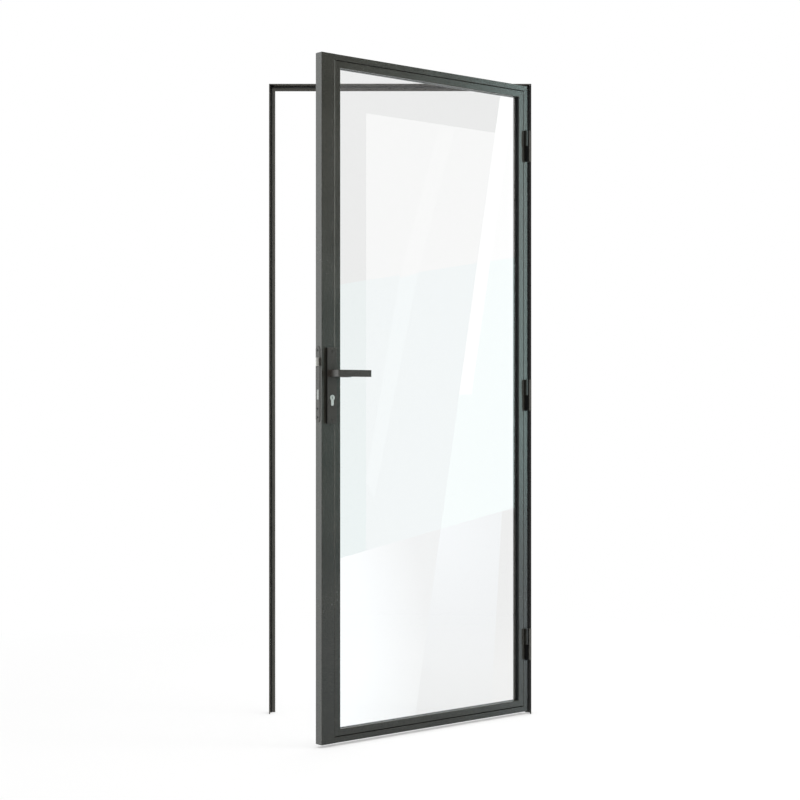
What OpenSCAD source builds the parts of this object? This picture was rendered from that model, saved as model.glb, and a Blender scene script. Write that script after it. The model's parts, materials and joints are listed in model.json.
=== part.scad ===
// Full-glass steel interior door in a thin three-sided steel frame, hinged on the right.
// Origin on the floor, at the middle of the frame's width, in the plane of its front edges.
// X runs to the hinge side, Y into the wall and Z up. All sizes are in millimetres.

/* [Frame] */
// Width over the two jambs
frame_w = 880; // [700:1:1100]
// Height over the head
frame_h = 2115; // [1900:1:2600]
// Depth of the steel angle, front edge to back of the stop
frame_d = 40; // [38:0.5:80]
// Thickness of the web that lines the wall opening
web_t = 3; // [2:0.5:6]
// Width of the stop, outside of the web included
stop_w = 18; // [14:0.5:30]
// Thickness of the stop
stop_t = 3; // [2:0.5:6]
// Diameter of the wall fixing holes
fixing_d = 6.5; // [4:0.1:10]
// Distance between the outer pair of fixing holes in a jamb
fixing_far = 1800; // [1500:1:1850]
// Distance between the inner pair of fixing holes in a jamb
fixing_near = 600; // [400:1:700]
// Distance between the two fixing holes in the head
fixing_head = 600; // [300:1:620]

/* [Seal] */
// Width of the rubber seal on the stop
seal_w = 4.5; // [3:0.1:6]
// Height of the rubber seal off the stop
seal_h = 4.8; // [3:0.1:5]

/* [Leaf] */
// Angle that the leaf stands open
open_deg = 40; // [0:1:170]
// Gap between the leaf and each jamb
side_gap = 3; // [2:0.5:6]
// Gap between the leaf and the head
top_gap = 4; // [2:0.5:8]
// Gap between the leaf and the floor
floor_gap = 9; // [4:0.5:20]
// Thickness of the leaf
leaf_t = 30; // [28:0.5:31.5]
// Wall of the hollow steel sections
wall_t = 2; // [1.5:0.1:2.5]
// Radius of the leaf's outer edges
edge_r = 1; // [0.5:0.1:1.8]
// Face of the rails and of the hinge stile, beside the bead
rail_w = 18; // [16.5:0.5:40]
// Face of the lock stile behind the spindle, as far as the bead
stile_back = 16; // [15.5:0.5:30]
// Drain hole in the foot of each stile
drain_d = 6; // [4:0.5:8]

/* [Glazing] */
// Face of the glazing beads
bead_w = 22.5; // [18:0.5:30]
// Depth of the glazing beads
bead_t = 10; // [8:0.5:11]
// Wall of the glazing beads
bead_wall = 1.5; // [1:0.1:2]
// Chamfer along the front edges of the beads and of the sections beside them
bead_chamfer = 1.4; // [0.5:0.1:1.6]
// Thickness of the glass
glass_t = 8; // [6:0.5:9]
// Gap around the edge of the glass
glass_gap = 5; // [3:0.5:6]
// Thickness of each glazing gasket
gasket_t = 1; // [0.8:0.1:1.5]
// Width of each glazing gasket
gasket_w = 12; // [8:0.5:13]
// Distance from the gasket to the visible edge of the bead
gasket_inset = 0.5; // [0:0.1:1]
// Length of each setting block under the glass
block_len = 80; // [50:1:120]
// Distance from the edge of the glass to a setting block
block_inset = 100; // [50:1:150]

/* [Hinges] */
// Height of a hinge
hinge_h = 104; // [80:1:140]
// Middle of the bottom hinge above the floor
hinge_low = 235; // [150:1:400]
// Middle of the top hinge below the top of the frame
hinge_high = 210; // [150:1:400]
// Pin axis in from the hinge edge of the leaf
hinge_inset = 11.5; // [10.5:0.1:14]
// Pin axis in front of the leaf's face
hinge_proud = 6; // [6:0.1:9]
// Side of the square knuckles
knuckle_w = 9; // [8.4:0.1:9.4]
// Corner radius of the knuckles
knuckle_r = 2; // [1.8:0.1:3]
// Diameter of the hinge pin
pin_d = 6; // [5:0.1:6.5]
// Thickness of the bearing washer
washer_t = 1; // [0.8:0.1:2]
// Closed end beyond the pin in each knuckle
knuckle_end = 2; // [1.5:0.1:4]
// Face of the hinge plate on the jamb
hinge_plate_w = 7.5; // [6:0.1:8]
// Thickness of the hinge plate
hinge_plate_t = 4.2; // [3:0.1:6]
// Thickness of the strap from the lower knuckle to its plate
strap_t = 5; // [3:0.1:6]

/* [Lock] */
// Spindle and cylinder in from the lock edge
backset = 34; // [33:0.5:60]
// Spindle height above the floor
lever_z = 1135; // [950:1:1200]
// Spindle above the cylinder
lock_centres = 74; // [70:0.5:92]
// Middle of the latch above the spindle
latch_rise = 35; // [33:0.5:45]
// Height of the latch
latch_h = 26; // [20:0.5:28]
// Thickness of the latch
latch_t = 12; // [10:0.1:13]
// Throw of the latch
latch_throw = 11; // [9:0.1:11.5]
// Turn of the lever that draws the latch in
lever_deg = 40; // [35:1:45]
// Middle of the deadbolt above the cylinder
bolt_rise = 9.5; // [8:0.1:12]
// Height of the deadbolt
bolt_h = 30; // [29:0.1:34]
// Thickness of the deadbolt
bolt_t = 9; // [8:0.1:12]
// Throw of the deadbolt
bolt_throw = 14; // [10:0.1:15]
// Pin in the lock case that guides the deadbolt
guide_d = 3; // [2:0.1:4]
// Width of the forend
forend_w = 20; // [18:0.1:20.8]
// Forend proud of the lock edge
forend_proud = 1.5; // [0.5:0.1:1.8]
// Forend above the middle of the latch
forend_up = 47.5; // [46:0.5:60]
// Forend below the cylinder
forend_down = 74.5; // [72:0.5:90]
// Top forend screw in from the end
screw_in_top = 13; // [11:0.5:14]
// Bottom forend screw in from the end
screw_in_low = 15; // [11:0.5:16]
// Lower pair of forend screws apart
screw_pair = 26; // [22:0.5:28]
// Diameter of the forend screws
screw_d = 4; // [3:0.1:5]
// Thickness of the lock case
case_t = 16; // [15:0.1:17]
// Wall of the lock case
case_wall = 1; // [0.8:0.1:1.2]
// Lock case clear of the rear wall of the stile
case_setback = 2; // [1:0.1:3]
// Wire of the latch spring
wire_d = 0.9; // [0.6:0.1:1.2]
// Radius of the latch spring at the middle of its wire
coil_r = 3; // [2.5:0.1:3.5]
// Turns of the latch spring
coil_turns = 7; // [5:1:9]

/* [Cylinder] */
// Radius of the cylinder's round head
cyl_r = 8.5; // [8:0.1:8.8]
// Width of the cylinder's tail
tail_w = 10; // [9:0.1:10.5]
// Foot of the tail below the key's axis
tail_drop = 24.5; // [23:0.1:25]
// Diameter of the plugs
plug_d = 13; // [12:0.1:13.5]
// Cylinder proud of each plate
cyl_proud = 1.5; // [1:0.1:4]
// Reach of the cam
cam_r = 12.5; // [11:0.1:12.8]
// Width of the slot that the cam turns in
cam_slot = 10; // [8:0.1:11]
// Width of the keyway
keyway_w = 2.2; // [1.5:0.1:3]
// Height of the keyway
keyway_h = 8.6; // [6:0.1:10]
// Depth of the keyway
keyway_d = 16; // [10:0.5:17]

/* [Handle] */
// Width of the long plates
plate_w = 37; // [34:0.5:50]
// Thickness of the long plates
plate_t = 8; // [7:0.1:10]
// Plate beyond the spindle at the top and beyond the cylinder at the foot
plate_past = 78; // [74:0.5:86]
// Chamfer around the face of the plates
plate_chamfer = 0.6; // [0.3:0.1:1.5]
// Plate screws in from the ends
plate_screw_in = 10.5; // [9:0.5:12]
// Diameter of the plate screws
plate_screw_d = 5; // [4:0.1:6]
// Height of the lever
lever_h = 21; // [19:0.5:24]
// Width of the lever's neck
neck_w = 20; // [19:0.5:24]
// Lever from the side of the neck to its tip
lever_len = 128; // [100:1:150]
// Face of the front lever in front of the leaf
lever_out = 52; // [44:0.5:60]
// Thickness of the front lever's bar
bar_t = 12; // [8:0.5:14]
// Face of the low back lever behind the leaf
back_out = 30; // [29:0.5:44]
// Thickness of the back lever's bar
back_bar_t = 8; // [6:0.5:9]
// Chamfer along the lever's edges
lever_chamfer = 0.6; // [0.3:0.1:1.5]
// Side of the square spindle
spindle_w = 8; // [7:0.1:9]
// Radius of the lever's boss in the plate
boss_r = 9; // [8:0.1:9.5]
// Wall of the bush around the boss
bush_t = 2; // [1:0.1:3]
// Diameter of the grub screw in each lever
grub_d = 5; // [4:0.1:6]

/* [Clearances] */
// Radial clearance of turning fits
run_gap = 0.05; // [0.03:0.01:0.08]
// Clearance of sliding and inserted pieces
fit_gap = 0.2; // [0.15:0.01:0.3]
// Clearance of pieces that pass close by
pass_gap = 0.4; // [0.3:0.01:0.6]
// Clearance of latch and bolt in the jamb
strike_gap = 2; // [1.5:0.1:3]
// Hinge plate clear of the closed leaf
leaf_clear = 0.8; // [0.5:0.1:1.2]

/* [Hidden] */
$fn = 64;

// Colours of the finishes
coat = "#4a4c48";
frame_coat = "#4b4a45";
black_coat = "#1c1d1d";
rubber = "#17181a";
nickel = "#b9bcb8";
zinc = "#9a9c98";
brass = "#b39a5c";
clear = [0.90, 0.95, 0.93, 0.35];
nylon = "#2b2c2d";

// Overshoot of a cut past the face that it opens
past = 1;
// Overlap of two joined forms, and the step where a countersunk head meets its shank
lap = 0.01;
head_step = 0.05;

// The leaf and its sections
leaf_w = frame_w - 2 * web_t - 2 * side_gap;
leaf_h = frame_h - web_t - top_gap - floor_gap;
lock_stile_w = backset + stile_back;
flange_t = leaf_t - bead_t - glass_t - 2 * gasket_t;
flange_v = leaf_t - flange_t;
rail_len = leaf_w - lock_stile_w - rail_w;
bead_rise = leaf_h - 2 * rail_w;
glass_w = rail_len - 2 * glass_gap;
glass_h = bead_rise - 2 * glass_gap;

// The hinges: pin axis at rest and the heights of their middles
axis_x = leaf_w / 2 - hinge_inset;
axis_y = -hinge_proud;
hinge_zs = [hinge_low, (hinge_low + frame_h - hinge_high) / 2, frame_h - hinge_high];
knuckle_h = (hinge_h - washer_t) / 2;
pin_reach = hinge_h / 2 - knuckle_end;

// The lock, in the leaf's own directions: u from the lock edge, v from the front face
lock_v = leaf_t - wall_t - case_setback - case_t / 2;
case_v = lock_v - case_t / 2;
case_len = lock_stile_w - 2 * wall_t - fit_gap;
cyl_z = lever_z - lock_centres;
latch_z = lever_z + latch_rise;
bolt_z = cyl_z + bolt_rise;
case_margin = 4;
case_low = cyl_z - tail_drop - case_margin;
case_high = latch_z + latch_h / 2 + case_margin;
forend_low = cyl_z - forend_down;
forend_high = latch_z + forend_up;
screw_low = forend_low + screw_in_low;
forend_screw_zs = [screw_low, screw_low + screw_pair, forend_high - screw_in_top];
forend_sink_r = screw_d * 0.9;
forend_head_r = screw_d * 0.8;
forend_t = wall_t + forend_proud;
tab_t = 5;
tab_margin = 5;

// The latch and the follower's arm, which swings the same angle to each side of upright
arm_tip_r = 3;
arm_r = latch_throw / (2 * sin(lever_deg / 2));
latch_head_len = 14;
latch_nose = 3;
latch_hook_u = backset - latch_throw / 2 + arm_tip_r + pass_gap;
latch_hook_t = 3;
latch_bar_h = 6;
latch_bar_low = latch_z - 10;
hook_low = lever_z + arm_r * cos(lever_deg / 2);
spring_z = latch_z + coil_r + wire_d + 1;
spring_post_t = 6.5;
spring_end = wall_t + case_len - case_wall - spring_post_t;
post_h = 2 * (coil_r + wire_d);

// The deadbolt keeps clear of the circle that the cam turns in
cam_clear = 0.8;
cam_past = 1.5;
bolt_end_gap = 2.5;
bolt_head_len = backset - cam_r - cam_past;
bolt_tail_low = cyl_z + cam_r + cam_past;
bolt_tail_end = wall_t + case_len - case_wall - bolt_end_gap;
bolt_tail_high = bolt_z + bolt_h / 2;
guide_z = (bolt_tail_low + bolt_tail_high) / 2;
guide_u = bolt_tail_end - guide_d - 2 * fit_gap - bolt_throw;

// The plates and levers
plate_low = cyl_z - plate_past;
plate_high = lever_z + plate_past;
plate_screw_zs = [plate_low + plate_screw_in, plate_high - plate_screw_in];
screw_head_r = plate_screw_d * 0.9;
screw_head_h = screw_head_r - plate_screw_d / 2;
neck_base = plate_t + pass_gap;
boss_end = 0.5;
spindle_end = plate_t + 22;
grub_out = plate_t + 12;
back_spindle_end = plate_t + 15;
back_grub_out = plate_t + 8;

// Directions for drawing: a flat outline carried along one axis
module along_x(x0, len) {
    translate([x0, 0, 0]) rotate([90, 0, 90]) linear_extrude(len) children();
}
module along_y(y0, len) {
    translate([0, y0 + len, 0]) rotate([90, 0, 0]) linear_extrude(len) children();
}
module along_z(z0, len) {
    translate([0, 0, z0]) linear_extrude(len) children();
}
// Turns a bar that lies along X and faces up into a post along Z that faces +X
module upright() {
    mirror([1, 0, -1]) children();
}

// Places a piece drawn in the leaf's own directions, with the leaf at its angle
module on_leaf() {
    translate([axis_x, axis_y, 0])
        rotate([0, 0, open_deg])
            translate([-axis_x - leaf_w / 2, -axis_y, 0])
                children();
}
// Repeats a front fitting on the back of the leaf
module on_back() {
    translate([0, leaf_t, 0]) mirror([0, 1, 0]) children();
}

// A bar of the given section, cut at 45 degrees at its left and right ends where asked
module mitre_bar(len, deep, left, right) {
    intersection() {
        along_x(0, len) children();
        along_y(-past, frame_d + 2 * past)
            polygon([[0, 0], [left ? deep : 0, deep], [len - (right ? deep : 0), deep], [len, 0]]);
    }
}

// Frame
module angle_section() {
    square([frame_d, web_t]);
    translate([frame_d - stop_t, 0]) square([stop_t, stop_w]);
}
module jamb() {
    difference() {
        translate([-frame_w / 2, 0, 0]) upright() mitre_bar(frame_h, stop_w, false, true) angle_section();
        for (gap = [fixing_far, fixing_near], side = [-1, 1])
            translate([-frame_w / 2 - past, frame_d / 2, frame_h / 2 + side * gap / 2])
                rotate([0, 90, 0]) cylinder(d = fixing_d, h = web_t + 2 * past);
    }
}
module lock_jamb() {
    color(frame_coat) difference() {
        jamb();
        along_x(-frame_w / 2 - past, web_t + 2 * past) {
            strike_hole(latch_z, latch_t, latch_h);
            strike_hole(bolt_z, bolt_t, bolt_h);
        }
    }
}
module strike_hole(z, t, h) {
    translate([lock_v, z]) square([t + 2 * strike_gap, h + 2 * strike_gap], center = true);
}
module hinge_jamb() {
    color(frame_coat) mirror([1, 0, 0]) jamb();
}
module frame_head() {
    color(frame_coat) difference() {
        translate([-frame_w / 2, 0, frame_h]) mirror([0, 0, 1])
            mitre_bar(frame_w, stop_w, true, true) angle_section();
        for (side = [-1, 1])
            translate([side * fixing_head / 2, frame_d / 2, frame_h - web_t - past])
                cylinder(d = fixing_d, h = web_t + 2 * past);
    }
}

// Seal: a round-nosed strip in the corner between web and stop
module seal_section() {
    translate([frame_d - stop_t - seal_h + seal_w / 2, 0]) square([seal_h - seal_w / 2, seal_w]);
    translate([frame_d - stop_t - seal_h + seal_w / 2, seal_w / 2]) circle(d = seal_w);
}
module seal_side() {
    translate([-frame_w / 2 + web_t, 0, 0]) upright()
        mitre_bar(frame_h - web_t, seal_w, false, true) seal_section();
}
module seal_lock_side() {
    color(rubber) seal_side();
}
module seal_hinge_side() {
    color(rubber) mirror([1, 0, 0]) seal_side();
}
module seal_head() {
    color(rubber) translate([-frame_w / 2 + web_t, 0, frame_h - web_t]) mirror([0, 0, 1])
        mitre_bar(frame_w - 2 * web_t, seal_w, true, true) seal_section();
}

// Hinges
module rounded_square(side, r) {
    square([side, side - 2 * r], center = true);
    square([side - 2 * r, side], center = true);
    for (x = [-1, 1], y = [-1, 1])
        translate([x * (side / 2 - r), y * (side / 2 - r)]) circle(r);
}
module hinge_base(z) {
    plate_x = frame_w / 2 - hinge_plate_w;
    color(black_coat) difference() {
        union() {
            along_z(z - hinge_h / 2, knuckle_h) {
                translate([axis_x, axis_y]) rounded_square(knuckle_w, knuckle_r);
                translate([axis_x, axis_y - strap_t / 2]) square([plate_x - axis_x, strap_t]);
            }
            along_z(z - hinge_h / 2, hinge_h) {
                translate([plate_x, -leaf_clear - hinge_plate_t]) square([hinge_plate_w, hinge_plate_t]);
                translate([frame_w / 2 - web_t, -leaf_clear - past]) square([web_t, leaf_clear + past]);
            }
        }
        translate([axis_x, axis_y, z - pin_reach]) cylinder(d = pin_d + 2 * run_gap, h = hinge_h);
    }
}
module hinge_pin(z) {
    color(zinc) translate([axis_x, axis_y, z - pin_reach]) cylinder(d = pin_d, h = 2 * pin_reach - pass_gap);
}
module hinge_washer(z) {
    color(brass) translate([axis_x, axis_y, 0]) along_z(z - washer_t / 2, washer_t) difference() {
        circle(d = knuckle_w);
        circle(d = pin_d + 2 * run_gap);
    }
}
module hinge_knuckle(z) {
    color(black_coat) on_leaf() translate([leaf_w / 2 + axis_x, axis_y, 0]) difference() {
        along_z(z + washer_t / 2, knuckle_h) {
            rounded_square(knuckle_w, knuckle_r);
            translate([-knuckle_w / 2, 0]) square([knuckle_w, hinge_proud]);
        }
        translate([0, 0, z - past]) cylinder(d = pin_d + 2 * run_gap, h = pin_reach + past);
    }
}
module hinge_base_bottom() {
    hinge_base(hinge_zs[0]);
}
module hinge_base_middle() {
    hinge_base(hinge_zs[1]);
}
module hinge_base_top() {
    hinge_base(hinge_zs[2]);
}
module hinge_pin_bottom() {
    hinge_pin(hinge_zs[0]);
}
module hinge_pin_middle() {
    hinge_pin(hinge_zs[1]);
}
module hinge_pin_top() {
    hinge_pin(hinge_zs[2]);
}
module hinge_washer_bottom() {
    hinge_washer(hinge_zs[0]);
}
module hinge_washer_middle() {
    hinge_washer(hinge_zs[1]);
}
module hinge_washer_top() {
    hinge_washer(hinge_zs[2]);
}
module hinge_knuckle_bottom() {
    hinge_knuckle(hinge_zs[0]);
}
module hinge_knuckle_middle() {
    hinge_knuckle(hinge_zs[1]);
}
module hinge_knuckle_top() {
    hinge_knuckle(hinge_zs[2]);
}

// Leaf sections: a tube with rounded outer edges and a hollow flange behind the glass.
// The bar lies along X with its outer edge at Z = 0.
module tube_outline(face) {
    translate([edge_r, 0]) square([leaf_t - 2 * edge_r, face]);
    translate([0, edge_r]) square([leaf_t, face - edge_r]);
    for (v = [edge_r, leaf_t - edge_r])
        translate([v, edge_r]) circle(edge_r);
}
module leaf_bar(len, face, flange_start, end_wall, chamfer_start) {
    difference() {
        union() {
            along_x(0, len) tube_outline(face);
            translate([flange_start, flange_v, face]) cube([len - 2 * flange_start, flange_t, bead_w]);
        }
        translate([end_wall, wall_t, wall_t])
            cube([len - 2 * end_wall, leaf_t - 2 * wall_t, face - 2 * wall_t]);
        translate([flange_start - past, flange_v + wall_t, face])
            cube([len - 2 * flange_start + 2 * past, flange_t - 2 * wall_t, bead_w - wall_t]);
        along_x(chamfer_start, len - 2 * chamfer_start) translate([0, face])
            polygon([[-past, past], [-past, -bead_chamfer - past], [bead_chamfer + past, past]]);
    }
}
// A stile has closed ends, with a drain hole in its foot
module stile(face) {
    translate([0, 0, floor_gap]) difference() {
        upright() leaf_bar(leaf_h, face, rail_w, wall_t, rail_w);
        translate([face / 2, leaf_t / 2, -past]) cylinder(d = drain_d, h = wall_t + 2 * past);
    }
}
module rail() {
    translate([lock_stile_w, 0, floor_gap]) leaf_bar(rail_len, rail_w, bead_w, -past, -past);
}
module mirrored_leaf_height() {
    translate([0, 0, 2 * floor_gap + leaf_h]) mirror([0, 0, 1]) children();
}
module mirrored_leaf_width() {
    translate([leaf_w, 0, 0]) mirror([1, 0, 0]) children();
}
module lock_stile() {
    color(coat) on_leaf() difference() {
        union() {
            difference() {
                stile(lock_stile_w);
                along_x(-past, wall_t + past) translate([lock_v, 0]) forend_outline(fit_gap);
                translate([backset, 0, 0]) along_y(-past, leaf_t + 2 * past) {
                    translate([0, lever_z]) circle(boss_r + 1);
                    translate([0, cyl_z]) cylinder_outline(2 * fit_gap);
                    for (z = plate_screw_zs)
                        translate([0, z]) circle(d = plate_screw_d + 4 * fit_gap);
                }
            }
            forend_tab(forend_low - tab_margin, case_low - fit_gap);
            forend_tab(case_high + fit_gap, forend_high + tab_margin);
        }
        forend_screw_places() circle(d = screw_d + 2 * run_gap);
    }
}
// Steel tab inside the stile that an end of the forend is screwed to
module forend_tab(low, high) {
    translate([wall_t, lock_v - forend_w / 2, low])
        cube([tab_t, leaf_t - wall_t - lock_v + forend_w / 2, high - low]);
}
module forend_screw_places() {
    along_x(wall_t, tab_t + past) translate([lock_v, 0])
        for (z = forend_screw_zs)
            translate([0, z]) children();
}
module hinge_stile() {
    color(coat) on_leaf() mirrored_leaf_width() stile(rail_w);
}
module bottom_rail() {
    color(coat) on_leaf() rail();
}
module top_rail() {
    color(coat) on_leaf() mirrored_leaf_height() rail();
}

// Glazing beads: hollow bars with mitred corners and chamfered front edges
module bead_section() {
    difference() {
        polygon([[bead_chamfer, 0], [bead_t, 0], [bead_t, bead_w], [bead_chamfer, bead_w],
            [0, bead_w - bead_chamfer], [0, bead_chamfer]]);
        translate([bead_wall, bead_wall]) square([bead_t - 2 * bead_wall, bead_w - 2 * bead_wall]);
    }
}
module bead_level() {
    translate([lock_stile_w, 0, floor_gap + rail_w]) mitre_bar(rail_len, bead_w, true, true) bead_section();
}
module bead_post(face) {
    translate([face, 0, floor_gap + rail_w]) upright()
        mitre_bar(bead_rise, bead_w, true, true) bead_section();
}
module bead_lock_side() {
    color(coat) on_leaf() bead_post(lock_stile_w);
}
module bead_hinge_side() {
    color(coat) on_leaf() mirrored_leaf_width() bead_post(rail_w);
}
module bead_bottom() {
    color(coat) on_leaf() bead_level();
}
module bead_top() {
    color(coat) on_leaf() mirrored_leaf_height() bead_level();
}

// Glass, gaskets and setting blocks
module glass_pane() {
    color(clear) on_leaf()
        translate([lock_stile_w + glass_gap, bead_t + gasket_t, floor_gap + rail_w + glass_gap])
            cube([glass_w, glass_t, glass_h]);
}
module gasket_ring(v) {
    inner = bead_w - gasket_inset;
    outer = inner - gasket_w;
    translate([lock_stile_w, 0, floor_gap + rail_w]) along_y(v, gasket_t) difference() {
        translate([outer, outer]) square([rail_len - 2 * outer, bead_rise - 2 * outer]);
        translate([inner, inner]) square([rail_len - 2 * inner, bead_rise - 2 * inner]);
    }
}
module gasket_front() {
    color(rubber) on_leaf() gasket_ring(bead_t);
}
module gasket_rear() {
    color(rubber) on_leaf() gasket_ring(bead_t + gasket_t + glass_t);
}
module setting_blocks() {
    color(nylon) on_leaf()
        for (u = [block_inset, glass_w - block_inset - block_len])
            translate([lock_stile_w + glass_gap + u, bead_t + gasket_t, floor_gap + rail_w])
                cube([block_len, glass_t, glass_gap]);
}

// Lock case: a tray open to the forend, with its cover on the back
module lock_case() {
    inner_u = wall_t + case_len - case_wall;
    color(zinc) on_leaf() difference() {
        union() {
            difference() {
                translate([wall_t, case_v, case_low])
                    cube([case_len, case_t - case_wall, case_high - case_low]);
                translate([wall_t - past, case_v + case_wall, case_low + case_wall])
                    cube([inner_u - wall_t + past, case_t, case_high - case_low - 2 * case_wall]);
            }
            translate([inner_u - spring_post_t, case_v, spring_z - post_h / 2])
                cube([spring_post_t + case_wall, case_t - case_wall, post_h]);
            translate([guide_u, 0, guide_z]) along_y(case_v, case_t - case_wall) circle(d = guide_d);
        }
        lock_through_holes(case_v - past);
    }
}
module lock_cover() {
    color(zinc) on_leaf() difference() {
        translate([wall_t, case_v + case_t - case_wall, case_low])
            cube([case_len, case_wall, case_high - case_low]);
        lock_through_holes(case_v + case_t - case_wall - past);
    }
}
module lock_through_holes(v) {
    translate([backset, 0, 0]) along_y(v, case_wall + 2 * past) {
        translate([0, lever_z]) circle(boss_r + run_gap);
        translate([0, cyl_z]) cylinder_outline(fit_gap);
    }
}

// Forend: a round-ended plate let into the lock edge
module forend_outline(gap) {
    r = forend_w / 2 + gap;
    translate([-r, forend_low + forend_w / 2]) square([2 * r, forend_high - forend_low - forend_w]);
    for (z = [forend_low + forend_w / 2, forend_high - forend_w / 2])
        translate([0, z]) circle(r);
}
module forend() {
    color(coat) on_leaf() difference() {
        along_x(-forend_proud, forend_t) translate([lock_v, 0]) difference() {
            forend_outline(0);
            translate([0, latch_z]) square([latch_t + 2 * fit_gap, latch_h + 2 * fit_gap], center = true);
            translate([0, bolt_z]) square([bolt_t + 2 * fit_gap, bolt_h + 2 * fit_gap], center = true);
        }
        for (z = forend_screw_zs)
            translate([-forend_proud, lock_v, z]) rotate([0, 90, 0]) {
                cylinder(r1 = forend_sink_r + run_gap, r2 = screw_d / 2 + run_gap - head_step, h = wall_t);
                cylinder(d = screw_d + 2 * run_gap, h = forend_t + past);
            }
    }
}
module forend_screws() {
    recess = 0.25;
    color(zinc) on_leaf()
        for (z = forend_screw_zs)
            translate([-forend_proud, lock_v, z]) rotate([0, 90, 0]) difference() {
                union() {
                    translate([0, 0, recess])
                        cylinder(r1 = forend_head_r, r2 = screw_d / 2 - head_step, h = wall_t - recess);
                    translate([0, 0, wall_t - lap]) cylinder(d = screw_d, h = tab_t + forend_proud);
                }
                translate([0, 0, recess]) cube([screw_d * 1.1, screw_d * 0.25, 1.2], center = true);
            }
}

// Latch: bevelled on the back, with a bar and a hook that the follower's arm draws in
module latch_bolt() {
    low = lock_v - latch_t / 2;
    high = lock_v + latch_t / 2;
    color(nickel) on_leaf() {
        along_z(latch_z - latch_h / 2, latch_h)
            polygon([
                [-latch_throw, low], [latch_head_len, low], [latch_head_len, high],
                [-1, high], [-latch_throw, low + latch_nose]
            ]);
        translate([latch_head_len - past, lock_v - latch_t / 4, latch_bar_low])
            cube([latch_hook_u + latch_hook_t - latch_head_len + past, latch_t / 2, latch_bar_h]);
        translate([latch_hook_u, lock_v - latch_t / 4, hook_low])
            cube([latch_hook_t, latch_t / 2, latch_bar_low + latch_bar_h - hook_low]);
    }
}

// Latch spring: a coil between the back of the latch and the post in the case
coil_sides = 6;
coil_steps = 12;
function coil_ring(t) = let (
    turn = 360 * coil_turns * t,
    reach = spring_end - latch_head_len - wire_d - 2 * fit_gap,
    start = latch_head_len + wire_d / 2 + fit_gap
) [
    for (k = [0:coil_sides - 1]) let (
        a = 360 * k / coil_sides,
        r = coil_r + wire_d / 2 * cos(a)
    ) [start + reach * t + wire_d / 2 * sin(a), r * cos(turn), r * sin(turn)]
];
module latch_spring() {
    rings = coil_turns * coil_steps;
    points = [for (i = [0:rings]) each coil_ring(i / rings)];
    sides = [
        for (i = [0:rings - 1], k = [0:coil_sides - 1]) let (
            a = i * coil_sides + k,
            b = i * coil_sides + (k + 1) % coil_sides
        ) [a, b, b + coil_sides, a + coil_sides]
    ];
    first = [for (k = [coil_sides - 1:-1:0]) k];
    last = [for (k = [0:coil_sides - 1]) rings * coil_sides + k];
    color(zinc) on_leaf() translate([0, lock_v, spring_z])
        polyhedron(points, concat(sides, [first, last]), convexity = 10);
}

// Follower: a hub with a square hole and an arm, at rest leaning towards the lock edge
module follower() {
    arm_t = latch_t / 2;
    color(zinc) on_leaf() translate([backset, 0, lever_z]) difference() {
        union() {
            along_y(case_v, case_t) circle(boss_r);
            along_y(lock_v - arm_t / 2, arm_t) rotate(lever_deg / 2) {
                translate([-arm_tip_r, 0]) square([2 * arm_tip_r, arm_r]);
                translate([0, arm_r]) circle(arm_tip_r);
            }
        }
        along_y(case_v - past, case_t + 2 * past) square(spindle_w + fit_gap, center = true);
    }
}

// Deadbolt: flush with the forend when drawn in, its slotted tail above the cam's circle
module deadbolt() {
    slot_r = guide_d / 2 + fit_gap;
    color(nickel) on_leaf() difference() {
        translate([0, lock_v - bolt_t / 2, 0]) {
            translate([-forend_proud, 0, bolt_z - bolt_h / 2])
                cube([bolt_head_len + forend_proud, bolt_t, bolt_h]);
            translate([bolt_head_len - past, 0, bolt_tail_low])
                cube([bolt_tail_end - bolt_head_len + past, bolt_t, bolt_tail_high - bolt_tail_low]);
        }
        translate([guide_u, 0, guide_z]) along_y(lock_v - bolt_t, 2 * bolt_t) {
            translate([0, -slot_r]) square([bolt_throw, 2 * slot_r]);
            for (u = [0, bolt_throw])
                translate([u, 0]) circle(slot_r);
        }
    }
}

// Cylinder
module cylinder_outline(gap) {
    circle(cyl_r + gap);
    translate([-tail_w / 2 - gap, -tail_drop + tail_w / 2])
        square([tail_w + 2 * gap, tail_drop - tail_w / 2]);
    translate([0, -tail_drop + tail_w / 2]) circle(tail_w / 2 + gap);
}
cyl_front = -plate_t - cyl_proud;
cyl_len = leaf_t + 2 * (plate_t + cyl_proud);
cam_v = lock_v - cam_slot / 2;
module cylinder_body() {
    color(nickel) on_leaf() translate([backset, 0, cyl_z]) difference() {
        along_y(cyl_front, cyl_len) cylinder_outline(0);
        along_y(cam_v, cam_slot) circle(cam_r + cam_clear);
        along_y(cyl_front - past, cyl_len + 2 * past) circle(plug_d / 2 + run_gap);
    }
}
module plug(len) {
    difference() {
        along_y(cyl_front, len) circle(d = plug_d);
        along_y(cyl_front - past, keyway_d + past) square([keyway_w, keyway_h], center = true);
    }
}
module plug_front() {
    color(nickel) on_leaf() translate([backset, 0, cyl_z]) plug(cam_v + fit_gap - cyl_front);
}
module plug_back() {
    color(nickel) on_leaf() on_back() translate([backset, 0, cyl_z])
        plug(leaf_t - cam_v - cam_slot - cyl_front);
}
module cylinder_cam() {
    nib_w = plug_d * 0.6;
    color(zinc) on_leaf() translate([backset, 0, cyl_z]) along_y(cam_v + fit_gap, cam_slot - 2 * fit_gap) {
        circle(d = plug_d);
        intersection() {
            translate([-nib_w / 2, -cam_r]) square([nib_w, cam_r]);
            circle(cam_r);
        }
    }
}

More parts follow.
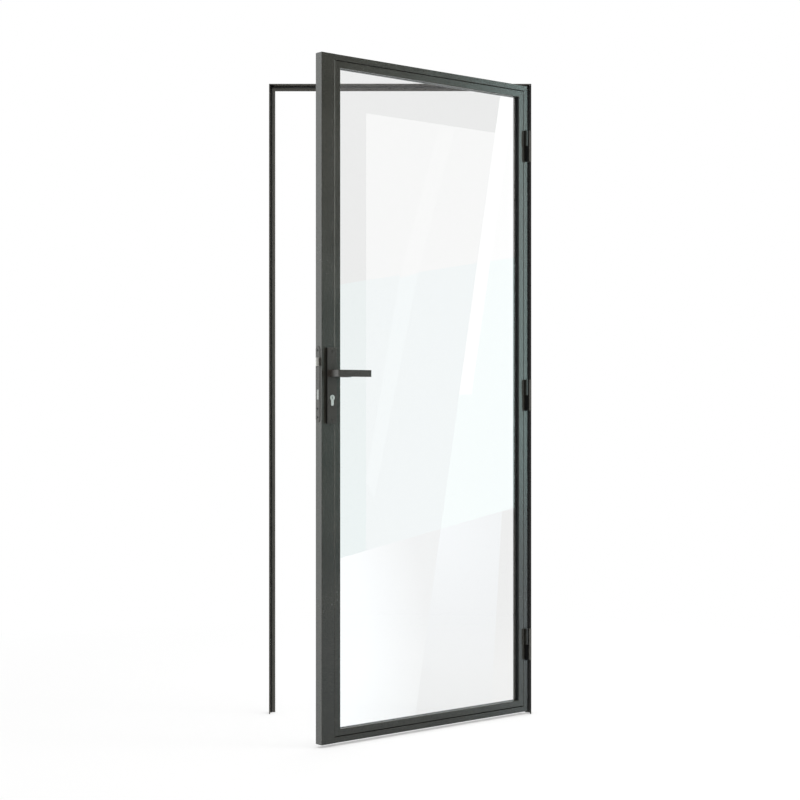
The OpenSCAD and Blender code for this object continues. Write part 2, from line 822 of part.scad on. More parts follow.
// Long plates: a chamfered slab with openings for the lever, the cylinder and the screws
module plate() {
    c = plate_chamfer;
    half = plate_w / 2;
    difference() {
        intersection() {
            along_z(plate_low, plate_high - plate_low) translate([backset, 0])
                polygon([[-half, 0], [half, 0], [half, c - plate_t], [half - c, -plate_t],
                    [c - half, -plate_t], [-half, c - plate_t]]);
            along_x(backset - half, plate_w)
                polygon([[0, plate_low], [0, plate_high], [c - plate_t, plate_high],
                    [-plate_t, plate_high - c], [-plate_t, plate_low + c], [c - plate_t, plate_low]]);
        }
        translate([backset, 0, 0]) along_y(-plate_t - past, plate_t + 2 * past) {
            translate([0, lever_z]) circle(boss_r + run_gap + bush_t);
            translate([0, cyl_z]) cylinder_outline(fit_gap);
            for (z = plate_screw_zs)
                translate([0, z]) circle(d = plate_screw_d + 2 * fit_gap);
        }
        for (z = plate_screw_zs)
            translate([backset, -plate_t, z]) rotate([-90, 0, 0])
                cylinder(r1 = screw_head_r + fit_gap, r2 = plate_screw_d / 2 + fit_gap, h = screw_head_h);
    }
}
module plate_front() {
    color(coat) on_leaf() plate();
}
module plate_back() {
    color(coat) on_leaf() on_back() plate();
}
// Through screws, with a countersunk head on the front and a sleeve nut on the back
module plate_screws() {
    sunk = 0.3;
    socket_d = plate_screw_d * 0.55;
    color(zinc) on_leaf()
        for (z = plate_screw_zs)
            translate([backset, 0, z]) rotate([-90, 0, 0]) difference() {
                union() {
                    translate([0, 0, -plate_t + sunk])
                        cylinder(d = plate_screw_d, h = leaf_t + 2 * plate_t - 2 * sunk);
                    translate([0, 0, -plate_t + sunk])
                        cylinder(r1 = screw_head_r - sunk, r2 = plate_screw_d / 2, h = screw_head_h - sunk);
                    translate([0, 0, leaf_t + plate_t - screw_head_h])
                        cylinder(r1 = plate_screw_d / 2, r2 = screw_head_r - sunk, h = screw_head_h - sunk);
                }
                for (v = [-plate_t, leaf_t + plate_t - 2])
                    translate([0, 0, v]) cylinder(d = socket_d, h = 2, $fn = 6);
            }
}
module lever_bush() {
    translate([backset, 0, lever_z]) along_y(-plate_t, plate_t) difference() {
        circle(boss_r + run_gap + bush_t);
        circle(boss_r + run_gap);
    }
}
module lever_bushes() {
    color(nylon) on_leaf() {
        lever_bush();
        on_back() lever_bush();
    }
}

// Lever: a square neck off the plate and a flat bar towards the hinges
module chamfered(x, y, c) {
    polygon([[c, 0], [x - c, 0], [x, c], [x, y - c], [x - c, y], [c, y], [0, y - c], [0, c]]);
}
module lever(out, bar, socket, grub) {
    side = backset - neck_w / 2;
    low = lever_z - lever_h / 2;
    difference() {
        union() {
            intersection() {
                along_z(low, lever_h)
                    polygon([
                        [side, -neck_base], [side, lever_chamfer - out],
                        [side + lever_chamfer, -out],
                        [side + lever_len - lever_chamfer, -out],
                        [side + lever_len, lever_chamfer - out], [side + lever_len, bar - out],
                        [side + neck_w, bar - out], [side + neck_w, -neck_base]
                    ]);
                along_x(side, lever_len) translate([-out, low])
                    chamfered(out, lever_h, lever_chamfer);
            }
            translate([backset, 0, lever_z]) along_y(-neck_base - past, neck_base + past - boss_end)
                circle(boss_r);
        }
        translate([backset, 0, lever_z]) along_y(-socket - fit_gap, socket + fit_gap)
            square(spindle_w + fit_gap, center = true);
        translate([backset, -grub, low - past])
            cylinder(d = grub_d + 2 * run_gap, h = lever_h / 2 + past);
    }
}
module lever_front() {
    color(coat) on_leaf() lever(lever_out, bar_t, spindle_end, grub_out);
}
module lever_back() {
    color(coat) on_leaf() on_back() lever(back_out, back_bar_t, back_spindle_end, back_grub_out);
}
module spindle() {
    color(zinc) on_leaf() translate([backset, 0, lever_z])
        along_y(-spindle_end, spindle_end + leaf_t + back_spindle_end) square(spindle_w, center = true);
}
module grub_screw(out) {
    low = lever_z - lever_h / 2 + 0.5;
    socket_h = 2;
    translate([backset, -out, low]) difference() {
        cylinder(d = grub_d, h = lever_z - spindle_w / 2 - low);
        translate([0, 0, -past]) cylinder(d = grub_d / 2, h = socket_h + past, $fn = 6);
    }
}
module grub_screws() {
    color(zinc) on_leaf() {
        grub_screw(grub_out);
        on_back() grub_screw(back_grub_out);
    }
}

lock_jamb();
frame_head();
hinge_jamb();
seal_lock_side();
seal_head();
seal_hinge_side();
hinge_base_bottom();
hinge_base_middle();
hinge_base_top();
hinge_pin_bottom();
hinge_pin_middle();
hinge_pin_top();
hinge_washer_bottom();
hinge_washer_middle();
hinge_washer_top();
lock_stile();
hinge_stile();
top_rail();
bottom_rail();
bead_lock_side();
bead_hinge_side();
bead_top();
bead_bottom();
glass_pane();
gasket_front();
gasket_rear();
setting_blocks();
hinge_knuckle_bottom();
hinge_knuckle_middle();
hinge_knuckle_top();
lock_case();
lock_cover();
forend();
forend_screws();
cylinder_body();
plate_front();
plate_back();
plate_screws();
lever_bushes();
lever_front();
lever_back();
spindle();
follower();
grub_screws();
latch_bolt();
latch_spring();
deadbolt();
plug_front();
cylinder_cam();
plug_back();
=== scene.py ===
import json
import math
import bpy
import numpy as np
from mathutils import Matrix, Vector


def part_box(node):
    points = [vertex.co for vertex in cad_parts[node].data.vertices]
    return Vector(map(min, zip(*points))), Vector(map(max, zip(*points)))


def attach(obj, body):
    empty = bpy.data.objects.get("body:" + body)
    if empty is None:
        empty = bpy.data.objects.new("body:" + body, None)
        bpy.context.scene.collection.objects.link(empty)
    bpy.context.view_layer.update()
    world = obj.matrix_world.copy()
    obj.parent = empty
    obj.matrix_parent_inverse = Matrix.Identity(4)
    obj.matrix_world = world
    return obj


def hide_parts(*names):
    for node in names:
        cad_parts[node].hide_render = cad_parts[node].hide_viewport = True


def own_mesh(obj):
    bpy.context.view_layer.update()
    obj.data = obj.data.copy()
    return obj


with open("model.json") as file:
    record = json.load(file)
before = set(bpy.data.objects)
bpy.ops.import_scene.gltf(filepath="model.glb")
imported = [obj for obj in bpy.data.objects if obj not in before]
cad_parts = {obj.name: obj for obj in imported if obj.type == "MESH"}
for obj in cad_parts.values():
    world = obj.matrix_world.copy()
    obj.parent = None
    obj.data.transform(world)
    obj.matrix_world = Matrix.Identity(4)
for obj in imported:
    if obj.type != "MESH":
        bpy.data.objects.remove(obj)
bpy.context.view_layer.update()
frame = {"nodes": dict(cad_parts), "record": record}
nodes = frame["nodes"]
print("frame loaded,", len(nodes), "nodes")


class Wire:
    # a value socket; each operator on it adds one Math node
    def __init__(self, finish, socket):
        self.finish = finish
        self.socket = socket

    def calc(self, operation, first, second):
        return self.finish.wire("ShaderNodeMath", {"operation": operation}, {0: first, 1: second})

    def __add__(self, other):
        return self.calc("ADD", self, other)

    def __radd__(self, other):
        return self.calc("ADD", other, self)

    def __sub__(self, other):
        return self.calc("SUBTRACT", self, other)

    def __mul__(self, other):
        return self.calc("MULTIPLY", self, other)

    def atMost(self, other):
        return self.calc("MINIMUM", self, other)

    def sway(self, amount):
        # how far a noise is from its middle value, times an amount
        return (self - 0.5) * amount


class Finish:
    # one node tree under construction
    def __init__(self, tree):
        self.tree = tree
        tree.nodes.clear()

    def add(self, kind, settings=None, inputs=None):
        # any node; its settings are set, its inputs linked or filled
        made = self.tree.nodes.new(kind)
        for key, value in (settings or {}).items():
            setattr(made, key, value)
        for key, value in (inputs or {}).items():
            if isinstance(value, Wire):
                self.tree.links.new(value.socket, made.inputs[key])
            else:
                made.inputs[key].default_value = value
        return made

    def wire(self, kind, settings=None, inputs=None, output=0):
        # any node, handed back as one of its outputs
        return Wire(self, self.add(kind, settings, inputs).outputs[output])

    def place(self):
        # object coordinates in metres
        return self.wire("ShaderNodeTexCoord", output="Object")

    def height(self):
        # the third of them
        return self.wire("ShaderNodeSeparateXYZ", None, {0: self.place()}, "Z")

    def measure(self, operation, other=(0.0, 0.0, 0.0)):
        # one number from the place: its length, its product with a direction or its distance from a point
        return self.wire("ShaderNodeVectorMath", {"operation": operation}, {0: self.place(), 1: other}, "Value")

    def noise(self, scale, detail, stretch=None):
        # cloud of about one over scale across, drawn out along the axes with a small stretch
        at = self.place()
        if stretch:
            at = self.wire("ShaderNodeMapping", None, {"Vector": at, "Scale": stretch})
        return self.wire("ShaderNodeTexNoise", None, {"Vector": at, "Scale": scale, "Detail": detail})

    def spread(self, value, low, high, to=(0.0, 1.0)):
        # a straight ramp from one range to another, held at its ends
        return self.wire("ShaderNodeMapRange", {"clamp": True}, {0: value, 1: low, 2: high, 3: to[0], 4: to[1]})

    def blend(self, factor, low, high):
        # colour mix; inputs 6 and 7 and output 2 are the colour sockets of a Mix node
        return self.wire("ShaderNodeMix", {"data_type": "RGBA"}, {0: factor, 6: low, 7: high}, 2)

    def mottle(self, value, contrast, look):
        # from the dark to the light colour of a look as a value crosses a range
        return self.blend(self.spread(value, *contrast), tone(look["dark"]), tone(look["light"]))

    def relief(self, height, strength, distance, edge):
        # bump over edges eased to a small radius
        eased = self.wire("ShaderNodeBevel", {"samples": 4}, {"Radius": edge})
        return self.wire("ShaderNodeBump", None,
                         {"Height": height, "Strength": strength, "Distance": distance, "Normal": eased})

    def coat(self, inputs):
        # the one surface shader that every finish starts from
        return self.wire("ShaderNodeBsdfPrincipled", None, inputs)

    def either(self, factor, first, second):
        # the first shader where the factor is 0, the second where it is 1
        return self.wire("ShaderNodeMixShader", None, {0: factor, 1: first, 2: second})

    def seen(self):
        # 1 on what the eye sees, straight, in reflections or through glass
        rays = [self.wire("ShaderNodeLightPath", output=ray)
                for ray in ("Is Camera Ray", "Is Glossy Ray", "Is Transmission Ray")]
        return (rays[0] + rays[1] + rays[2]).atMost(1.0)

    def surface(self, shader, kind="ShaderNodeOutputMaterial"):
        # ends the tree
        self.add(kind, None, {"Surface": shader})


def newFinish(name):
    # an empty material and its node tree
    material = bpy.data.materials.new(name)
    material.use_nodes = True
    return material, Finish(material.node_tree)


def opaque(colour):
    # a colour with full alpha
    return [*colour, 1.0]


def tone(colour):
    # 0-255 screen colour to linear light
    return opaque(c / 12.92 if c <= 0.04045 else ((c + 0.055) / 1.055) ** 2.4
                  for c in (step / 255 for step in colour))


def spots(node):
    # the points of a node's mesh
    return np.array([v.co for v in nodes[node].data.vertices], float)


def placed(name, data):
    # a new object in the scene
    made = bpy.data.objects.new(name, data)
    bpy.context.scene.collection.objects.link(made)
    return made


def levelWay(start, end):
    # unit direction from the middle of one node to that of another, seen from above
    way = (spots(end).mean(0) - spots(start).mean(0)) * (1.0, 1.0, 0.0)
    return way / np.linalg.norm(way)


lockWay = levelWay("hinge_stile", "lock_stile")


def lockStrip(node, depth, colour, *heights):
    # the strip of a node within a depth of where it ends towards the lock edge
    return lockWay.tolist(), float((spots(node) @ lockWay).max()) - depth, colour, *heights


# powder coats; past lists narrow strips with a second colour: direction, how far along it they start, colour
leafCoat = {"dark": (39, 39, 34), "light": (57, 56, 50), "rough": 0.24, "grain": 200.0, "bump": 0.8,
            "gloss": 0.5, "edge": 0.0008}
frameCoat = {"dark": (62, 60, 54), "light": (68, 66, 59), "rough": 0.28, "grain": 520.0, "bump": 0.16,
             "gloss": 0.5, "edge": 0.0006}
# the hinge jamb: the frame coat painted darker and less glossy, painted shade for the shadow that jamb stands
# in
hingeJambShadedCoat = {"dark": (34, 33, 30), "light": (40, 39, 36), "rough": 0.46, "grain": 520.0, "bump": 0.16,
            "gloss": 0.12, "edge": 0.0006}
hardwareCoat = {"dark": (51, 47, 43), "light": (57, 53, 49), "rough": 0.26, "grain": 700.0, "bump": 0.12,
                "gloss": 0.4, "edge": 0.0008}
knuckleCoat = {"dark": (26, 26, 23), "light": (34, 34, 30), "rough": 0.30, "grain": 600.0, "bump": 0.14,
               "gloss": 0.26, "edge": 0.0006}
weldPlates = 0.4318  # the hinges' barrels are black as far right as this, their weld plates lighter
hingeCoat = {"dark": (6, 6, 6), "light": (9, 9, 8), "rough": 0.42, "grain": 600.0, "bump": 0.14,
             "gloss": 0.06, "edge": 0.0006, "past": [((1.0, 0.0, 0.0), weldPlates, (88, 88, 85))]}

# painted shade: narrow matt strips on the lock-side edge of the front plate and on the hinge-side bead's return
# beside the pane
shadeStripDepth = 0.0006
plateShadedCoat = {**hardwareCoat, "past": [lockStrip("plate_front", shadeStripDepth, (32, 32, 30))]}
hingeBeadShadedCoat = {**leafCoat, "past": [lockStrip("bead_hinge_side", shadeStripDepth, (42, 44, 45))]}

# joints between beads and sections: painted shade in the joints above and below, a painted highlight on the
# upper lock side
jointDepth = {"lock": 0.0014, "top": 0.00238, "low": 0.0028}
paintedJointShade, paintedJointHighlight = (8, 8, 8), (132, 134, 129)
highlightHeights = (0.3, 1.3)  # heights over which the painted highlight comes in
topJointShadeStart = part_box("bead_top")[1][2] - jointDepth["top"]
lowJointShadeStart = -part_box("bead_bottom")[0][2] - jointDepth["low"]
lockBeadHighlightCoat = {**leafCoat, "past": [lockStrip("bead_lock_side", jointDepth["lock"], paintedJointHighlight, highlightHeights)]}
topBeadShadedCoat = {**leafCoat, "past": [((0.0, 0.0, 1.0), topJointShadeStart, paintedJointShade)]}
lowBeadShadedCoat = {**leafCoat, "past": [((0.0, 0.0, -1.0), lowJointShadeStart, paintedJointShade)]}

powder = {"cloud": 7.0, "cloudDetail": 4.0, "fleck": 1.7, "fleckDetail": 1.0, "peelDetail": 2.0,
          "cloudShare": 0.3, "fleckShare": 0.7, "contrast": (0.36, 0.64), "cloudRough": 0.12, "peelRough": 0.10,
          "peelRise": 0.8, "fleckRise": 0.2, "depth": 0.0006, "ior": 1.5, "seam": 0.0003}


def powderCoat(name, look):
    # orange peel one over grain metres wide, flecks and clouds in the colour, roughness by cloud and peel
    material, mat = newFinish(name)
    cloud = mat.noise(powder["cloud"], powder["cloudDetail"])
    fleck = mat.noise(look["grain"] * powder["fleck"], powder["fleckDetail"])
    peel = mat.noise(look["grain"], powder["peelDetail"])
    patches = cloud * powder["cloudShare"] + fleck * powder["fleckShare"]
    rough = look["rough"] + cloud.sway(powder["cloudRough"]) + peel.sway(powder["peelRough"])
    rise = peel * powder["peelRise"] + fleck * powder["fleckRise"]
    coat = mat.coat({"Base Color": mat.mottle(patches, powder["contrast"], look), "Roughness": rough,
                     "Normal": mat.relief(rise, look["bump"], powder["depth"], look["edge"]),
                     "Specular IOR Level": look["gloss"], "IOR": powder["ior"]})
    for along, reach, colour, *heights in look.get("past", []):
        # a matt second colour past a plane, coming in over a range of heights where one is given: a second
        # paint on the hinges, painted shade or a painted highlight on the plate and beads
        share = mat.spread(mat.measure("DOT_PRODUCT", along), reach, reach + powder["seam"])
        if heights:
            share = share * mat.spread(mat.height(), *heights[0])
        coat = mat.either(share, coat, mat.wire("ShaderNodeBsdfDiffuse", None, {"Color": tone(colour)}))
    mat.surface(coat)
    return material


nickelLook = {"dark": (176, 176, 171), "light": (204, 204, 199), "rough": 0.45, "metal": 0.65}
latchLook = {"dark": (180, 180, 176), "light": (204, 204, 199), "rough": 0.50, "metal": 0.30}
boltLook = {"dark": (114, 115, 113), "light": (136, 136, 134), "rough": 0.40, "metal": 0.85}
satin = {"drawn": 260.0, "drawnDetail": 2.0, "stretch": (6.0, 6.0, 0.4), "wipe": 60.0, "wipeDetail": 3.0,
         "drawnShare": 0.6, "wipeShare": 0.4, "contrast": (0.35, 0.65), "drawnRough": 0.14, "wipeRough": 0.08,
         "relief": (0.10, 0.0002, 0.0004)}


def satinMetal(name, look):
    # drawn lines along the height, faint wipe marks
    material, mat = newFinish(name)
    drawn = mat.noise(satin["drawn"], satin["drawnDetail"], satin["stretch"])
    wipe = mat.noise(satin["wipe"], satin["wipeDetail"])
    patches = drawn * satin["drawnShare"] + wipe * satin["wipeShare"]
    rough = look["rough"] + drawn.sway(satin["drawnRough"]) + wipe.sway(satin["wipeRough"])
    mat.surface(mat.coat({"Base Color": mat.mottle(patches, satin["contrast"], look), "Metallic": look["metal"],
                          "Roughness": rough, "Normal": mat.relief(drawn, *satin["relief"])}))
    return material


zincLook = {"dark": (92, 94, 94), "light": (150, 152, 150), "rough": 0.38}
dullBrassLook = {"dark": (44, 37, 26), "light": (66, 56, 38), "rough": 0.40}
blackSteelLook = {"dark": (24, 24, 24), "light": (44, 44, 43), "rough": 0.44}
plating = {"fleck": 900.0, "wipe": 90.0, "wipeDetail": 3.0, "fleckShare": 0.5, "wipeShare": 0.5,
           "contrast": (0.2, 0.7), "wipeRough": 0.16, "relief": (0.08, 0.0002, 0.0003)}


def platedMetal(name, look):
    # plating with a fine crystal fleck, wiped smoother and rougher
    material, mat = newFinish(name)
    fleck = mat.wire("ShaderNodeTexVoronoi", None, {"Vector": mat.place(), "Scale": plating["fleck"]})
    wipe = mat.noise(plating["wipe"], plating["wipeDetail"])
    patches = fleck * plating["fleckShare"] + wipe * plating["wipeShare"]
    mat.surface(mat.coat({"Base Color": mat.mottle(patches, plating["contrast"], look), "Metallic": 1.0,
                          "Roughness": look["rough"] + wipe.sway(plating["wipeRough"]),
                          "Normal": mat.relief(fleck, *plating["relief"])}))
    return material


rubberLook = {"dark": (16, 16, 16), "light": (27, 27, 26), "rough": 0.62}
nylonLook = {"dark": (38, 38, 38), "light": (52, 52, 51), "rough": 0.46}
moulding = {"bloom": 40.0, "bloomDetail": 4.0, "grain": 1500.0, "grainDetail": 2.0, "contrast": (0.35, 0.7),
            "bloomRough": 0.2, "relief": (0.15, 0.0002, 0.0004)}


def mouldedSoft(name, look):
    # matt and dark with a dusty bloom and a fine moulded grain
    material, mat = newFinish(name)
    bloom = mat.noise(moulding["bloom"], moulding["bloomDetail"])
    grain = mat.noise(moulding["grain"], moulding["grainDetail"])
    mat.surface(mat.coat({"Base Color": mat.mottle(bloom, moulding["contrast"], look),
                          "Roughness": look["rough"] + bloom.sway(moulding["bloomRough"]),
                          "Normal": mat.relief(grain, *moulding["relief"])}))
    return material


glassLook = {"tint": (0.912, 0.915, 0.912), "deep": (0.904, 0.909, 0.905), "coat": 1.0, "ior": 1.5,
             "shade": (0.86, 0.88, 0.87), "drift": 1.3, "driftDetail": 1.0, "contrast": (0.35, 0.65)}


def floatGlass(name, look):
    # clear float glass with a slow drift of tint; light passes straight through to the floor
    material, mat = newFinish(name)
    drift = mat.spread(mat.noise(look["drift"], look["driftDetail"]), *look["contrast"])
    pane = mat.coat({"Base Color": mat.blend(drift, opaque(look["tint"]), opaque(look["deep"])),
                     "Roughness": 0.0, "IOR": look["ior"], "Transmission Weight": 1.0,
                     "Coat Weight": look["coat"], "Coat Roughness": 0.0})
    clear = mat.wire("ShaderNodeBsdfTransparent", None, {"Color": opaque(look["shade"])})
    mat.surface(mat.either(mat.wire("ShaderNodeLightPath", output="Is Shadow Ray"), pane, clear))
    return material


hinges = ["bottom", "middle", "top"]
dressing = {
    # finish: how it is made, its look, the nodes that wear it
    "frameCoat": (powderCoat, frameCoat, ["lock_jamb", "frame_head"]),
    "hingeJambShadedCoat": (powderCoat, hingeJambShadedCoat, ["hinge_jamb"]),
    "leafCoat": (powderCoat, leafCoat, ["lock_stile", "hinge_stile", "top_rail", "bottom_rail"]),
    "hingeBeadShadedCoat": (powderCoat, hingeBeadShadedCoat, ["bead_hinge_side"]),
    "lockBeadHighlightCoat": (powderCoat, lockBeadHighlightCoat, ["bead_lock_side"]),
    "topBeadShadedCoat": (powderCoat, topBeadShadedCoat, ["bead_top"]),
    "lowBeadShadedCoat": (powderCoat, lowBeadShadedCoat, ["bead_bottom"]),
    "hardwareCoat": (powderCoat, hardwareCoat,
                     ["plate_back", "plate_screws", "lever_front", "lever_back", "forend"]),
    "plateShadedCoat": (powderCoat, plateShadedCoat, ["plate_front"]),
    "hingeCoat": (powderCoat, hingeCoat, ["hinge_base_" + h for h in hinges]),
    "knuckleCoat": (powderCoat, knuckleCoat, ["hinge_knuckle_" + h for h in hinges]),
    "satinNickel": (satinMetal, nickelLook, ["cylinder_body", "plug_front", "plug_back"]),
    "latchNickel": (satinMetal, latchLook, ["latch_bolt"]),
    "boltSteel": (satinMetal, boltLook, ["deadbolt"]),
    "zincPlate": (platedMetal, zincLook,
                  ["hinge_pin_" + h for h in hinges]
                  + ["lock_case", "lock_cover", "spindle", "follower", "latch_spring", "cylinder_cam"]),
    "dullBrass": (platedMetal, dullBrassLook, ["hinge_washer_" + h for h in hinges]),
    "blackSteel": (platedMetal, blackSteelLook, ["forend_screws", "grub_screws"]),
    "blackRubber": (mouldedSoft, rubberLook,
                    ["seal_lock_side", "seal_head", "seal_hinge_side", "gasket_front", "gasket_rear"]),
    "greyNylon": (mouldedSoft, nylonLook, ["setting_blocks", "lever_bushes"]),
    "clearGlass": (floatGlass, glassLook, ["glass_pane"]),
}
finishes = {}
dressed = set()
for finishName, (make, look, wearers) in dressing.items():
    finishes[finishName] = make(finishName, look)
    for node in wearers:
        held = nodes[node].data.materials
        held.clear()
        held.append(finishes[finishName])
        dressed.add(node)
nodes["hinge_jamb"].visible_glossy = False  # the stile beside it catches the daylight up to its edge
print("finishes on", len(dressed), "nodes, left bare:", sorted(set(nodes) - dressed))

coilLook = {"radius": 0.003, "wire": 0.0009, "turns": 7, "steps": 24, "sides": 10, "travel": 0.0111}


def coilSpring(look):
    # the latch spring: round wire swept along a helix about the latch's line, as long as the latch_spring part
    slide = next(joint for joint in frame["record"]["behaviour"]["joints"] if joint["name"] == "latch_slide")
    axis, up = np.array(slide["axis"], float), np.array((0.0, 0.0, 1.0))
    side = np.cross(up, axis)
    along = spots("latch_spring") @ axis
    near, far = along.min(), along.max()
    middle = (np.array(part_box("latch_spring")[0]) + np.array(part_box("latch_spring")[1])) / 2
    middle = middle - axis * (middle @ axis)
    thick, sides = look["wire"] / 2, look["sides"]
    t = np.linspace(0.0, 1.0, look["turns"] * look["steps"] + 1)[:, None]
    around = np.linspace(0.0, 2 * math.pi, sides, endpoint=False)[None, :]
    turn = 2 * math.pi * look["turns"] * t
    reach = look["radius"] + thick * np.cos(around)
    lift = near + thick + (far - near - 2 * thick) * t + thick * np.sin(around)
    points = (middle + lift[..., None] * axis + (reach * np.cos(turn))[..., None] * side
              + (reach * np.sin(turn))[..., None] * up)
    rings = len(t)
    faces = [(i * sides + k, (i + 1) * sides + k,
              (i + 1) * sides + (k + 1) % sides, i * sides + (k + 1) % sides)
             for i in range(rings - 1) for k in range(sides)]
    caps = [tuple(range(sides)), tuple(rings * sides - 1 - k for k in range(sides))]
    mesh = bpy.data.meshes.new("latchCoil")
    mesh.from_pydata(points.reshape(-1, 3).tolist(), [], faces + caps)
    for face in mesh.polygons:
        face.use_smooth = face.index < len(faces)
    mesh.materials.append(finishes["zincPlate"])
    coil = placed("latchCoil", mesh)
    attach(coil, "leaf")
    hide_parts("latch_spring")
    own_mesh(coil)
    print("latch spring", round(1000 * (far - near), 2), "mm long at rest")


coilSpring(coilLook)


def flatSheet(name, corners):
    # one flat face through four corners
    mesh = bpy.data.meshes.new(name)
    mesh.from_pydata(np.array(corners, float).tolist(), [], [(0, 1, 2, 3)])
    sheet = placed(name, mesh)
    return sheet


def glowCard(name, corners, colour, low, high=None, across=None, around=None):
    # a card that only reflections see; its glow is even, or runs from low to high upwards or away from a point
    card = flatSheet(name, corners)
    material, mat = newFinish(name)
    glow = low
    if across:
        away = mat.measure("DISTANCE", around) if around else mat.height()
        glow = mat.spread(away, *across, (low, high))
    mat.surface(mat.wire("ShaderNodeEmission", None, {"Color": opaque(colour), "Strength": glow}))
    card.data.materials.append(material)
    card.visible_camera = card.visible_diffuse = card.visible_shadow = False
    card.visible_transmission = card.visible_volume_scatter = False


def upright(x, *sides):
    # four (y, z) points on a sheet that stands across x
    return [(x, y, z) for y, z in sides]


def facing(y, left, right, foot, top):
    # the corners of a sheet that stands across y
    return [(left, y, foot), (right, y, foot), (right, y, top), (left, y, top)]


white = (1.0, 1.0, 1.0)
mint = (0.72, 1.0, 1.0)
warm = (1.0, 0.985, 0.96)
roomWall = 4.0  # the room that the pane mirrors, on a sheet this far to the right of the door
roomFront = 3.99  # what stands before that sheet
drapeWall = 4.3  # the dim drape behind it
leftWall = -1.3
windows = {
    # corners, colour, glow; where the glow varies, also its far value, the range it runs over and a centre
    "sillMint": (upright(roomWall, (-1.40, 0.16), (-1.237, 0.21), (-1.237, 1.726), (-1.40, 1.70)),
                 (0.25, 0.90, 0.90), 0.95, 0.70, (0.3, 1.4)),
    "paneUp": (upright(roomWall, (-1.237, 1.726), (-0.608, 1.813), (-0.509, 2.532), (-1.237, 2.662)),
               white, 1.2),
    "paneMint": (upright(roomWall, (-1.237, 0.21), (-0.814, 0.337), (-0.608, 1.813), (-1.237, 1.726)),
                 (0.66, 0.94, 1.0), 1.18),
    "streakUp": (upright(roomFront, (-1.045, 1.735), (-0.94, 1.76), (-0.735, 2.56), (-0.823, 2.565)),
                 white, 1.34),
    "streakMint": (upright(roomFront, (-1.237, 0.60), (-1.19, 0.50), (-0.94, 1.76), (-1.045, 1.735)),
                   (0.70, 0.95, 1.0), 1.42),
    "whiteStrip": (upright(roomWall, (-0.711, 1.085), (-0.641, 1.085), (-0.375, 2.92), (-0.456, 2.92)),
                   white, 2.1),
    "rightUp": (upright(roomWall, (-0.538, 1.822), (-0.33, 1.85), (-0.33, 2.92), (-0.375, 2.92)),
                white, 1.8),
    "rightMint": (upright(roomWall, (-0.641, 1.085), (-0.33, 1.085), (-0.33, 1.85), (-0.538, 1.822)),
                  mint, 1.75),
    "rightMintLow": (upright(roomWall, (-0.814, 0.337), (-0.33, 0.483), (-0.33, 1.085), (-0.711, 1.085)),
                     mint, 1.75),
    "rightLow": (upright(roomWall, (-0.97, -0.80), (-0.33, -0.80), (-0.33, 0.483), (-0.814, 0.337)),
                 (0.86, 1.0, 1.14), 1.4, 0.3, (0.0, 0.98), (roomWall, -0.85, 0.34)),
    "postLow": (upright(roomFront, (-0.54, -0.80), (-0.36, -0.80), (-0.36, 0.46), (-0.47, 0.44)),
                white, 0.38),
    "lampGlow": (upright(roomWall, (-1.39, -1.00), (-0.97, -0.80), (-0.814, 0.337), (-1.39, 0.165)),
                 (0.90, 1.0, 1.08), 2.0, 0.75, (1.36, 1.72), (roomWall, -2.6, -0.25)),
    # what the foot of the lock stile catches
    "stileLow": (upright(roomWall, (-2.2, -1.3), (-1.40, -1.3), (-1.40, 0.15), (-2.2, 0.15)),
                 (0.70, 0.85, 1.0), 0.90, 0.12, (-0.85, 0.15)),
    # further round: the cool daylight that the hinge side catches
    "daylight": (upright(roomWall, (-0.33, 0.483), (0.40, 0.5), (0.40, 3.4), (-0.33, 3.4)),
                 (0.70, 1.0, 1.0), 6.4),
    "daylightLow": (upright(roomWall, (-0.33, -0.90), (0.40, -0.90), (0.40, 0.5), (-0.33, 0.483)),
                    (0.86, 1.03, 1.12), 3.1),
    # left and in front of the frame: lights the lock edge
    "leftBack": (upright(leftWall, (-1.1, -0.6), (-0.15, -0.6), (-0.15, 2.8), (-1.1, 2.8)),
                 (0.96, 1.0, 0.99), 2.1, 2.95, (-0.2, 1.3)),
}
drapes = {
    "drapeRight": (upright(drapeWall, (-9.0, -2.0), (1.4, -2.0), (1.4, 7.0), (-9.0, 7.0)), white, 0.12),
    # stands for the hinge jamb's stop, since reflections don't see the jamb itself
    "stopShade": (facing(0.0368, 0.419, 0.4365, 0.0, 2.11), white, 0.02),
    "drapeFront": (facing(-9.0, -7.0, drapeWall, -2.0, 7.0), (0.94, 0.98, 1.0), 0.9),
}
for name, values in {**windows, **drapes}.items():
    glowCard(name, *values)
print("cards set,", len(windows) + len(drapes))

floorLook = {"half": 30.0, "drop": 0.0005, "colour": (0.90, 0.90, 0.895), "white": 0.80, "fade": (1.2, 2.6),
             "contact": 0.05, "open": (0.15, 0.95), "kept": 0.35, "rays": 16}


def paleFloor(look):
    # white to the eye, with part of its real shade kept near the door, most where something touches it
    half, low = look["half"], -look["drop"]
    sheet = flatSheet("floor", [(-half, -half, low), (half, -half, low), (half, half, low), (-half, half, low)])
    material, mat = newFinish("paleFloor")
    clear = mat.spread(mat.measure("LENGTH"), *look["fade"], (look["white"], 1.0))
    sky = mat.wire("ShaderNodeAmbientOcclusion", {"samples": look["rays"]}, {"Distance": look["contact"]}, "AO")
    touch = mat.spread(sky, *look["open"], (look["kept"], 1.0))
    matt = mat.wire("ShaderNodeBsdfDiffuse", None, {"Color": opaque(look["colour"])})
    bright = mat.wire("ShaderNodeEmission", None, {"Color": opaque(white), "Strength": 1.0})
    mat.surface(mat.either(mat.seen() * clear * touch, matt, bright))
    sheet.data.materials.append(material)
    sheet.visible_glossy = False


paleFloor(floorLook)

roomLook = {"ambient": (0.96, 0.98, 1.0), "level": 0.12}


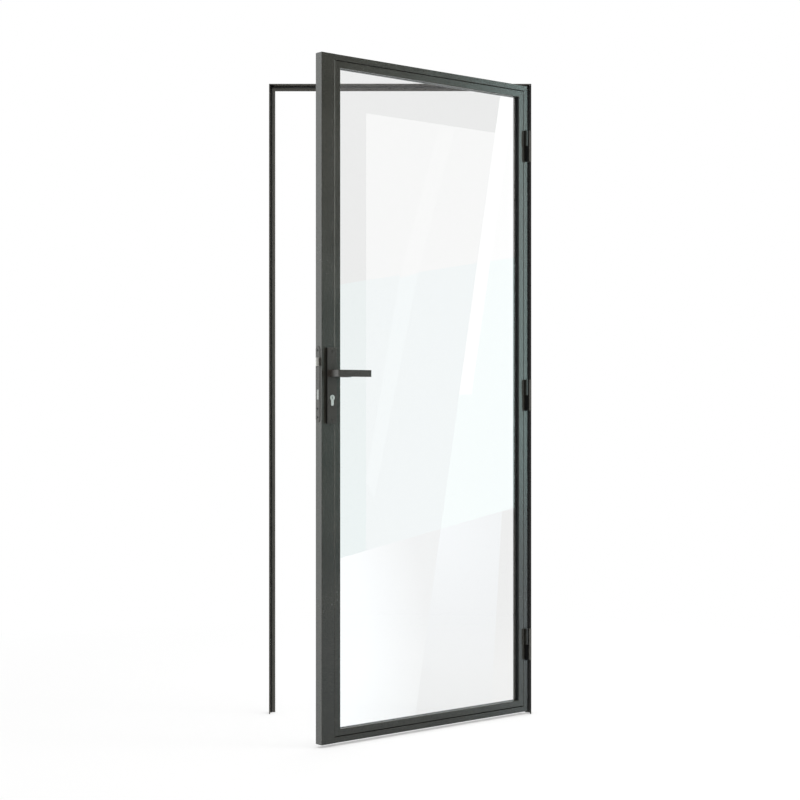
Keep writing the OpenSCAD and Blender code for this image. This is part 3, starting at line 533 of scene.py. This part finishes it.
def whiteRoom(look):
    # white to the eye, to reflections and through glass; a soft ambient level for everything else
    world = bpy.data.worlds.new("whiteRoom")
    world.use_nodes = True
    bpy.context.scene.world = world
    sky = Finish(world.node_tree)
    soft = sky.wire("ShaderNodeBackground", None, {"Color": opaque(look["ambient"]), "Strength": look["level"]})
    bright = sky.wire("ShaderNodeBackground", None, {"Color": opaque(white), "Strength": 1.0})
    sky.surface(sky.either(sky.seen(), soft, bright), "ShaderNodeOutputWorld")


whiteRoom(roomLook)

lamps = {
    # place, aim, width, height, power, colour
    "keyRight": ((4.3, -0.95, 2.2), (0.0, -0.2, 1.1), 1.6, 2.2, 110.0, warm),
    "frontFill": ((-0.8, -6.6, 2.1), (0.0, 0.0, 1.1), 3.0, 2.6, 140.0, warm),
    "topSoft": ((0.2, -0.3, 6.5), (0.2, -0.299, 0.0), 4.0, 4.0, 330.0, white),
    "backSoft": ((1.2, 4.2, 2.4), (0.0, 0.0, 1.1), 3.0, 2.6, 80.0, white),
}


def softLamp(name, place, aim, width, height, power, colour):
    # an area lamp tilted by the fall and turned by the heading of the line from its place to its aim
    data = bpy.data.lights.new(name, "AREA")
    data.shape = "RECTANGLE"
    data.size, data.size_y = width, height
    data.energy = power
    data.color = colour
    lamp = placed(name, data)
    lamp.location = place
    away = np.array(place, float) - np.array(aim, float)
    flat = math.hypot(away[0], away[1])
    lamp.rotation_euler = (math.atan2(flat, away[2]), 0.0, math.atan2(away[0], -away[1]))
    lamp.visible_camera = lamp.visible_glossy = lamp.visible_transmission = False


for name, values in lamps.items():
    softLamp(name, *values)

eye = {"place": (-0.0005, -5.60, 1.054), "tilt": 90.0, "lens": 75.1, "sensor": 36.0}
cameraData = bpy.data.cameras.new("photoView")
cameraData.lens = eye["lens"]
cameraData.sensor_width = eye["sensor"]
cameraData.dof.use_dof = False
camera = placed("photoView", cameraData)
camera.location = eye["place"]
camera.rotation_euler = (math.radians(eye["tilt"]), 0.0, 0.0)
bpy.context.scene.camera = camera
bpy.context.scene.view_settings.view_transform = "Standard"
print("stage, light and camera set")
